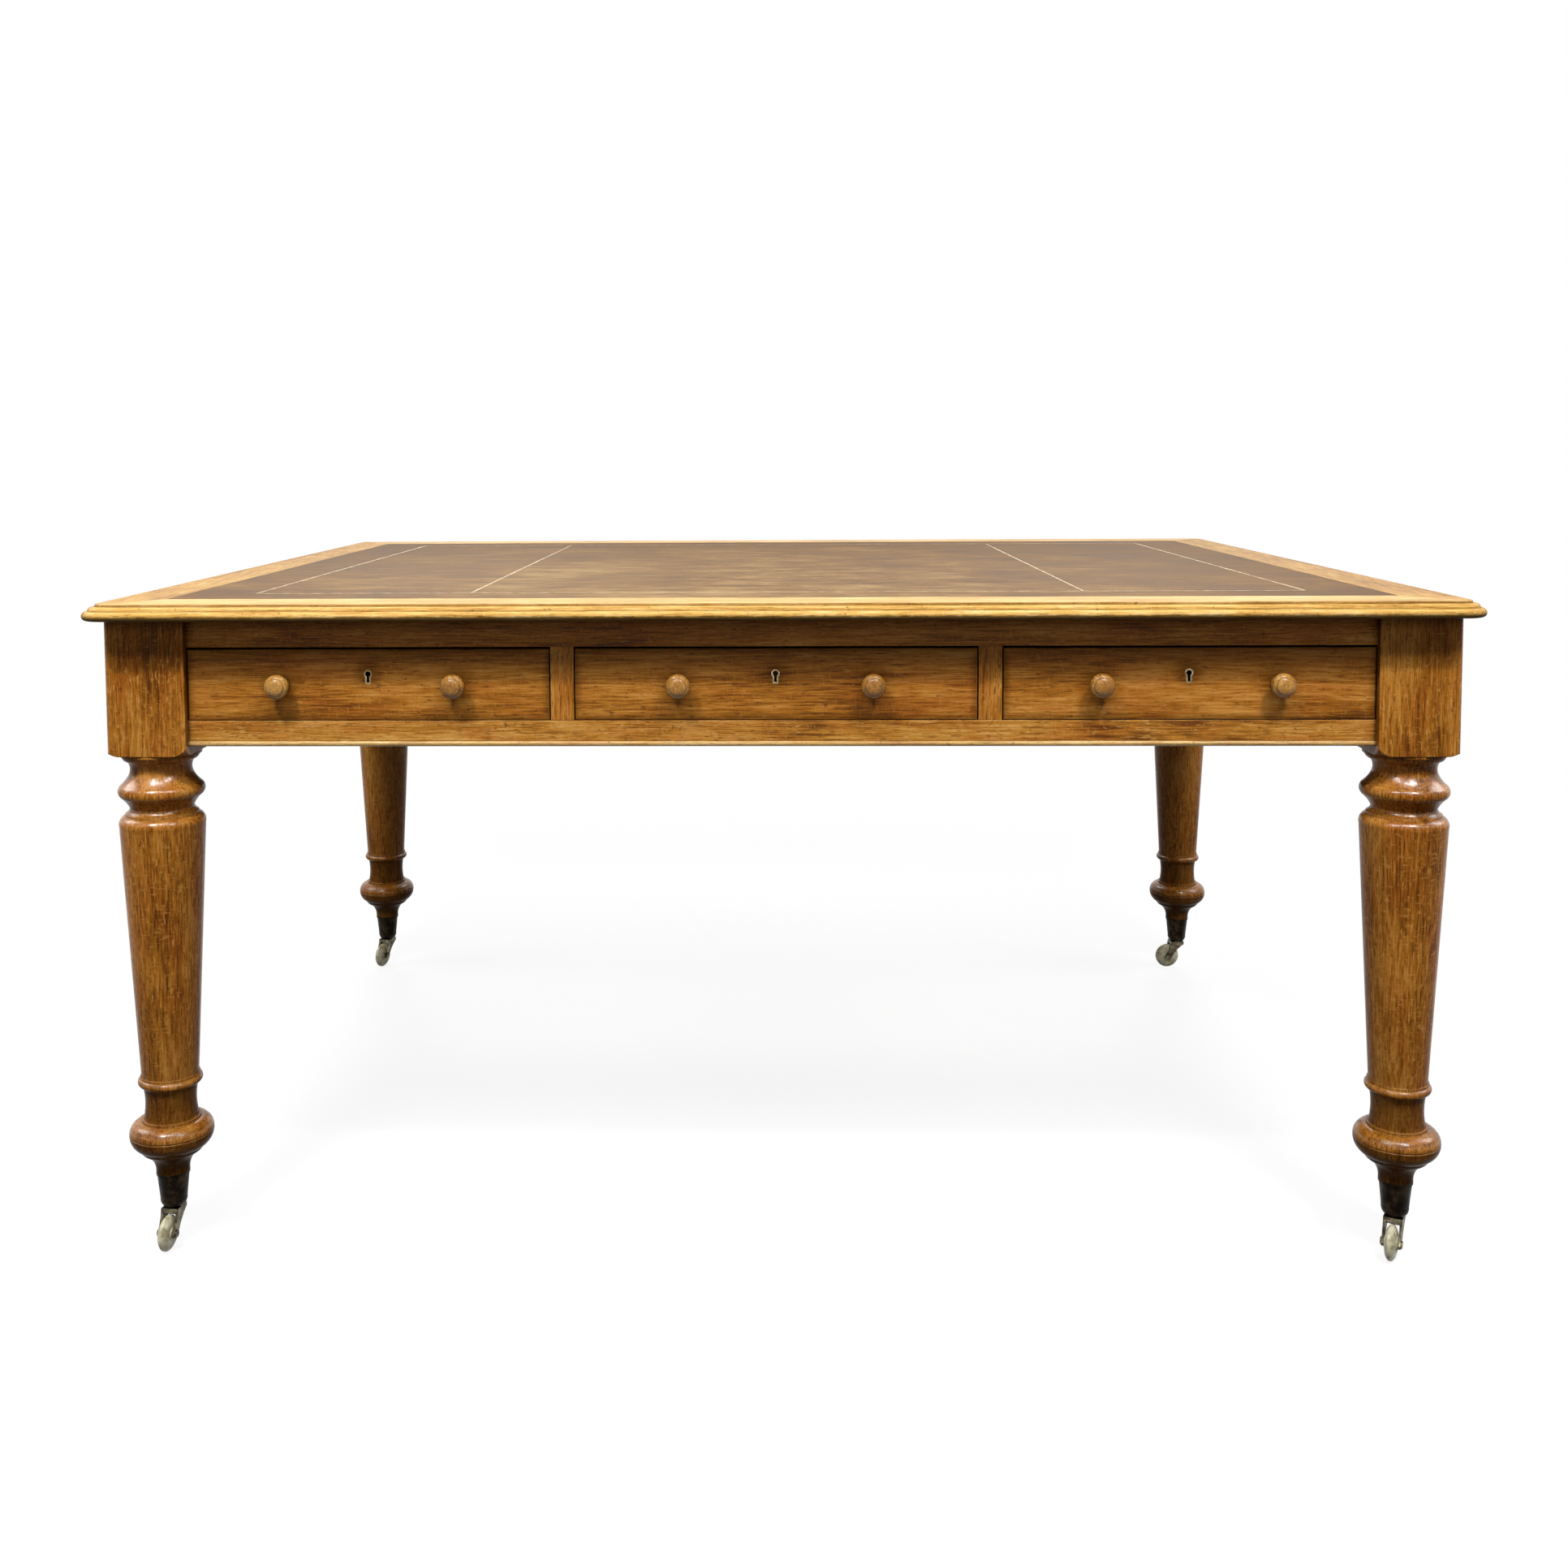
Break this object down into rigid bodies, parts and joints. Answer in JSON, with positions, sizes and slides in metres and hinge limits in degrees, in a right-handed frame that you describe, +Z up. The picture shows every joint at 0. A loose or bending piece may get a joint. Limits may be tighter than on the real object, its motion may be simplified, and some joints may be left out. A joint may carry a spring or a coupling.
{
  "type": "partners desk",
  "caption": "Oak partners desk with a leather writing top, lockable sliding drawers on both long sides, turned tapering legs and swivelling castors.",
  "frame": {"origin": "on the floor under the middle of the top", "axes": "+X along the length of the desk to the right as seen from the front, +Y from the front to the back, +Z up"},
  "size_m": [1.534, 1.219, 0.758],
  "materials": {
    "oak": "waxed, golden brown with dark patina",
    "secondary_oak": "unpolished",
    "drawer_lining": "unpolished",
    "polished_oak": "polished by use",
    "hide": "worn brown hide with a soft sheen",
    "brass": "dulled",
    "worn_brass": "greyed and worn",
    "dark_bronze": "almost black patina",
    "earthenware": "cream glaze",
    "screw_steel": "plain"
  },
  "bodies": {
    "frame": {"leg_front_left": "oak", "leg_front_right": "oak", "leg_back_left": "oak", "leg_back_right": "oak", "front_top_rail": "oak", "back_top_rail": "oak", "front_lower_rail": "oak", "back_lower_rail": "oak", "end_aprons": "oak", "drawer_dividers": "oak", "centre_rail": "secondary_oak", "drawer_runners": "secondary_oak", "drawer_guides": "secondary_oak", "drawer_kickers": "secondary_oak", "drawer_stops": "secondary_oak", "apron_beads": "oak", "top_border_long_boards": "oak", "top_border_end_boards": "oak", "top_panel": "secondary_oak", "writing_leather": "hide", "top_screws": "screw_steel", "castor_cups": "dark_bronze"},
    "front_left_drawer": {"front_left_drawer_front": "oak", "front_left_drawer_box": "drawer_lining", "front_left_drawer_knobs": "polished_oak", "front_left_drawer_lock": "brass"},
    "front_left_bolt": {"front_left_drawer_bolt": "brass"},
    "front_middle_drawer": {"front_middle_drawer_front": "oak", "front_middle_drawer_box": "drawer_lining", "front_middle_drawer_knobs": "polished_oak", "front_middle_drawer_lock": "brass"},
    "front_middle_bolt": {"front_middle_drawer_bolt": "brass"},
    "front_right_drawer": {"front_right_drawer_front": "oak", "front_right_drawer_box": "drawer_lining", "front_right_drawer_knobs": "polished_oak", "front_right_drawer_lock": "brass"},
    "front_right_bolt": {"front_right_drawer_bolt": "brass"},
    "back_left_drawer": {"back_left_drawer_front": "oak", "back_left_drawer_box": "drawer_lining", "back_left_drawer_knobs": "polished_oak", "back_left_drawer_lock": "brass"},
    "back_left_bolt": {"back_left_drawer_bolt": "brass"},
    "back_middle_drawer": {"back_middle_drawer_front": "oak", "back_middle_drawer_box": "drawer_lining", "back_middle_drawer_knobs": "polished_oak", "back_middle_drawer_lock": "brass"},
    "back_middle_bolt": {"back_middle_drawer_bolt": "brass"},
    "back_right_drawer": {"back_right_drawer_front": "oak", "back_right_drawer_box": "drawer_lining", "back_right_drawer_knobs": "polished_oak", "back_right_drawer_lock": "brass"},
    "back_right_bolt": {"back_right_drawer_bolt": "brass"},
    "castor_front_left_fork": {"castor_front_left_fork": "worn_brass"},
    "castor_front_left_wheel": {"castor_front_left_wheel": "earthenware"},
    "castor_front_right_fork": {"castor_front_right_fork": "worn_brass"},
    "castor_front_right_wheel": {"castor_front_right_wheel": "earthenware"},
    "castor_back_left_fork": {"castor_back_left_fork": "worn_brass"},
    "castor_back_left_wheel": {"castor_back_left_wheel": "earthenware"},
    "castor_back_right_fork": {"castor_back_right_fork": "worn_brass"},
    "castor_back_right_wheel": {"castor_back_right_wheel": "earthenware"}
  },
  "joints": [
    {"name": "front_left_drawer_slide", "type": "slide", "parent": "frame", "child": "front_left_drawer", "axis": [0, -1, 0], "range_m": [0, 0.36]},
    {"name": "front_left_bolt_throw", "type": "slide", "parent": "front_left_drawer", "child": "front_left_bolt", "axis": [0, 0, 1], "range_m": [0, 0.007]},
    {"name": "front_middle_drawer_slide", "type": "slide", "parent": "frame", "child": "front_middle_drawer", "axis": [0, -1, 0], "range_m": [0, 0.36]},
    {"name": "front_middle_bolt_throw", "type": "slide", "parent": "front_middle_drawer", "child": "front_middle_bolt", "axis": [0, 0, 1], "range_m": [0, 0.007]},
    {"name": "front_right_drawer_slide", "type": "slide", "parent": "frame", "child": "front_right_drawer", "axis": [0, -1, 0], "range_m": [0, 0.36]},
    {"name": "front_right_bolt_throw", "type": "slide", "parent": "front_right_drawer", "child": "front_right_bolt", "axis": [0, 0, 1], "range_m": [0, 0.007]},
    {"name": "back_left_drawer_slide", "type": "slide", "parent": "frame", "child": "back_left_drawer", "axis": [0, 1, 0], "range_m": [0, 0.36]},
    {"name": "back_left_bolt_throw", "type": "slide", "parent": "back_left_drawer", "child": "back_left_bolt", "axis": [0, 0, 1], "range_m": [0, 0.007]},
    {"name": "back_middle_drawer_slide", "type": "slide", "parent": "frame", "child": "back_middle_drawer", "axis": [0, 1, 0], "range_m": [0, 0.36]},
    {"name": "back_middle_bolt_throw", "type": "slide", "parent": "back_middle_drawer", "child": "back_middle_bolt", "axis": [0, 0, 1], "range_m": [0, 0.007]},
    {"name": "back_right_drawer_slide", "type": "slide", "parent": "frame", "child": "back_right_drawer", "axis": [0, 1, 0], "range_m": [0, 0.36]},
    {"name": "back_right_bolt_throw", "type": "slide", "parent": "back_right_drawer", "child": "back_right_bolt", "axis": [0, 0, 1], "range_m": [0, 0.007]},
    {"name": "castor_front_left_swivel", "type": "hinge", "parent": "frame", "child": "castor_front_left_fork", "pos_m": [-0.706, -0.5235, 0.055], "axis": [0, 0, 1], "continuous": true},
    {"name": "castor_front_left_roll", "type": "hinge", "parent": "castor_front_left_fork", "child": "castor_front_left_wheel", "pos_m": [-0.70807, -0.54037, 0.02], "axis": [0.9925, -0.1219, 0], "continuous": true},
    {"name": "castor_front_right_swivel", "type": "hinge", "parent": "frame", "child": "castor_front_right_fork", "pos_m": [0.706, -0.5235, 0.055], "axis": [0, 0, 1], "continuous": true},
    {"name": "castor_front_right_roll", "type": "hinge", "parent": "castor_front_right_fork", "child": "castor_front_right_wheel", "pos_m": [0.6975, -0.53822, 0.02], "axis": [0.866, -0.5, 0], "continuous": true},
    {"name": "castor_back_left_swivel", "type": "hinge", "parent": "frame", "child": "castor_back_left_fork", "pos_m": [-0.706, 0.5235, 0.055], "axis": [0, 0, 1], "continuous": true},
    {"name": "castor_back_left_roll", "type": "hinge", "parent": "castor_back_left_fork", "child": "castor_back_left_wheel", "pos_m": [-0.71181, 0.50753, 0.02], "axis": [0.9397, -0.342, 0], "continuous": true},
    {"name": "castor_back_right_swivel", "type": "hinge", "parent": "frame", "child": "castor_back_right_fork", "pos_m": [0.706, 0.5235, 0.055], "axis": [0, 0, 1], "continuous": true},
    {"name": "castor_back_right_roll", "type": "hinge", "parent": "castor_back_right_fork", "child": "castor_back_right_wheel", "pos_m": [0.68906, 0.52202, 0.02], "axis": [0.0872, -0.9962, 0], "continuous": true}
  ]
}
